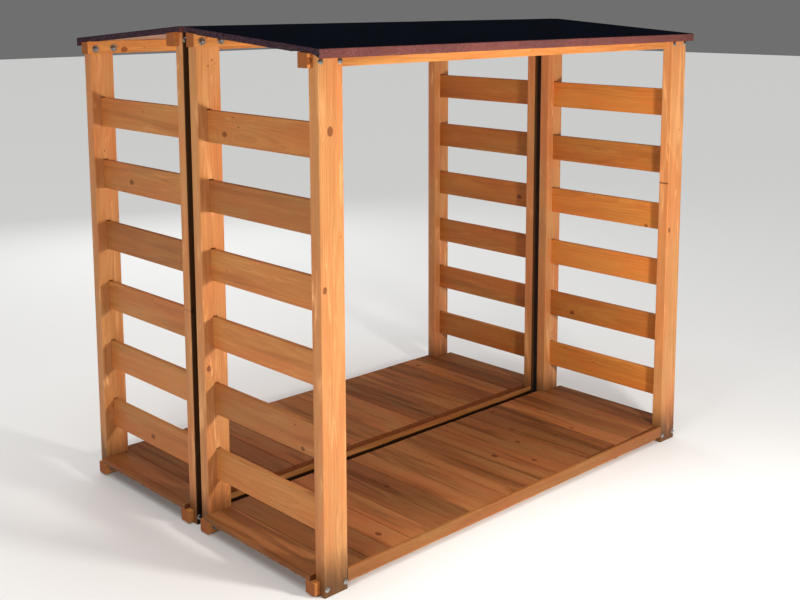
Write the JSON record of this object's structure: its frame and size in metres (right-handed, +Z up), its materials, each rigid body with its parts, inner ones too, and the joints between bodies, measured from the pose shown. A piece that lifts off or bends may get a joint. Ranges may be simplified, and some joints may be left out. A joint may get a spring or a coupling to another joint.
{
  "type": "double log store",
  "caption": "Open timber log store: back-to-back lean-to bays with slatted ends, boarded floors and shallow felted roofs meeting at a low ridge",
  "frame": {"origin": "on the floor under the middle of the store", "axes": "X along the store, +Y from the front bay to the rear bay, Z up"},
  "size_m": [1.84, 1.341, 1.644],
  "materials": {
    "post_wood": "planed softwood with an orange-brown stain",
    "slat_wood": "planed softwood boards with an orange-brown stain",
    "rail_wood": "planed softwood with an orange-brown stain",
    "floor_wood": "stained floor boards",
    "board_wood": "stained roof board",
    "roof_felt": "mineral felt",
    "bolt_steel": "zinc plated coach bolts"
  },
  "bodies": {
    "root": {"front_left_eave_post": "post_wood", "front_left_ridge_post": "post_wood", "front_right_eave_post": "post_wood", "front_right_ridge_post": "post_wood", "rear_left_eave_post": "post_wood", "rear_left_ridge_post": "post_wood", "rear_right_eave_post": "post_wood", "rear_right_ridge_post": "post_wood", "front_left_slats": "slat_wood", "front_right_slats": "slat_wood", "rear_left_slats": "slat_wood", "rear_right_slats": "slat_wood", "front_eave_rail": "rail_wood", "front_ridge_rail": "rail_wood", "rear_eave_rail": "rail_wood", "rear_ridge_rail": "rail_wood", "front_eave_bearer": "rail_wood", "front_ridge_bearer": "rail_wood", "rear_eave_bearer": "rail_wood", "rear_ridge_bearer": "rail_wood", "front_eave_fascia": "rail_wood", "rear_ridge_fascia": "rail_wood", "front_floor": "floor_wood", "rear_floor": "floor_wood", "front_roof_board": "board_wood", "rear_roof_board": "board_wood", "front_roof_felt": "roof_felt", "rear_roof_felt": "roof_felt"}
  },
  "joints": []
}
